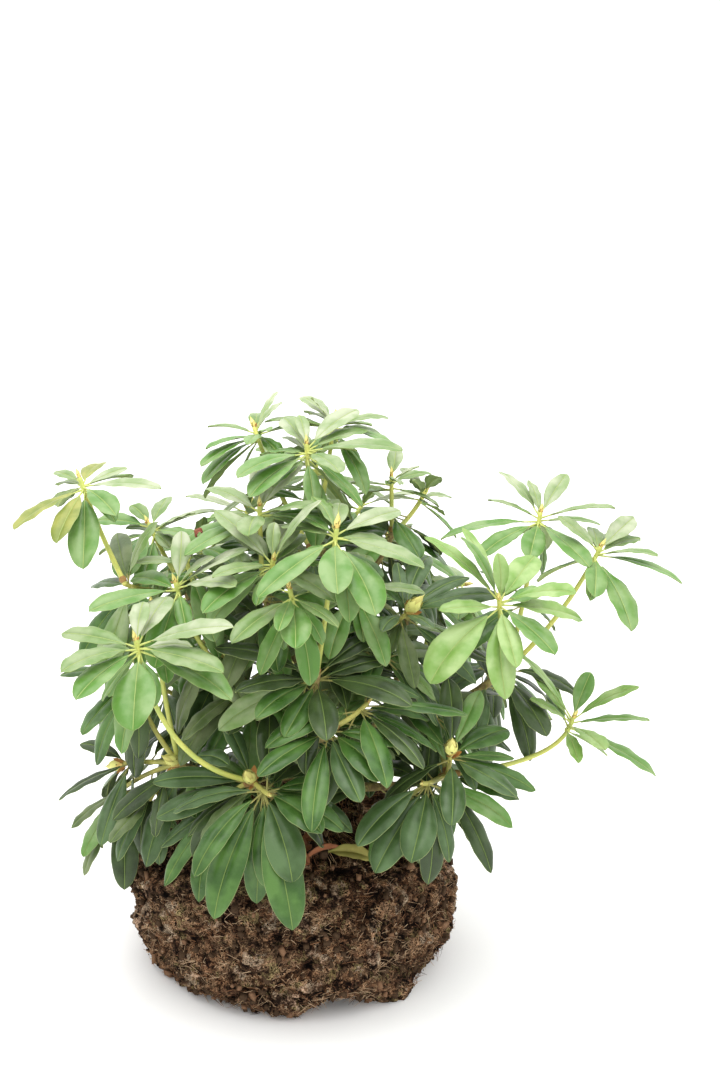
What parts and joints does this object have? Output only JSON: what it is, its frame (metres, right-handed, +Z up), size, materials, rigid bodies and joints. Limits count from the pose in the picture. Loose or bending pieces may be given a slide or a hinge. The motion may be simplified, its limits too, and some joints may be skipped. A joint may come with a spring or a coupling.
{
  "type": "rhododendron shrub",
  "caption": "Young evergreen rhododendron on its bare root ball: a short forked trunk, woody boughs and open rings of long leathery leaves with plump flower buds.",
  "frame": {"origin": "middle of the flat underside of the root ball", "axes": "+Z up along the trunk, -Y towards the shrub's front, +X to its right-hand side as seen from the front"},
  "size_m": [0.7053, 0.6119, 0.6484],
  "materials": {
    "peat": "rough, fibrous and moist",
    "bark": "matte bark, olive to brown",
    "leaves": "leathery with a dull sheen"
  },
  "bodies": {
    "root": {"root_ball": "peat", "trunk": "bark", "bough_back": "bark", "bough_back_left_high": "bark", "bough_back_left_low": "bark", "bough_back_low": "bark", "bough_back_right_high": "bark", "bough_back_right_low": "bark", "bough_centre_left": "bark", "bough_centre_right": "bark", "bough_front": "bark", "bough_front_left": "bark", "bough_front_low": "bark", "bough_left_high": "bark", "bough_left_low": "bark", "bough_left_middle": "bark", "bough_right_crown": "bark", "bough_right_high": "bark", "bough_right_low": "bark", "bough_top": "bark", "foliage_back": "leaves", "foliage_back_left_high": "leaves", "foliage_back_left_low": "leaves", "foliage_back_low": "leaves", "foliage_back_right_high": "leaves", "foliage_back_right_low": "leaves", "foliage_centre_left": "leaves", "foliage_centre_right": "leaves", "foliage_front": "leaves", "foliage_front_left": "leaves", "foliage_front_low": "leaves", "foliage_left_high": "leaves", "foliage_left_low": "leaves", "foliage_left_middle": "leaves", "foliage_right_crown": "leaves", "foliage_right_high": "leaves", "foliage_right_low": "leaves", "foliage_top": "leaves"}
  },
  "joints": []
}
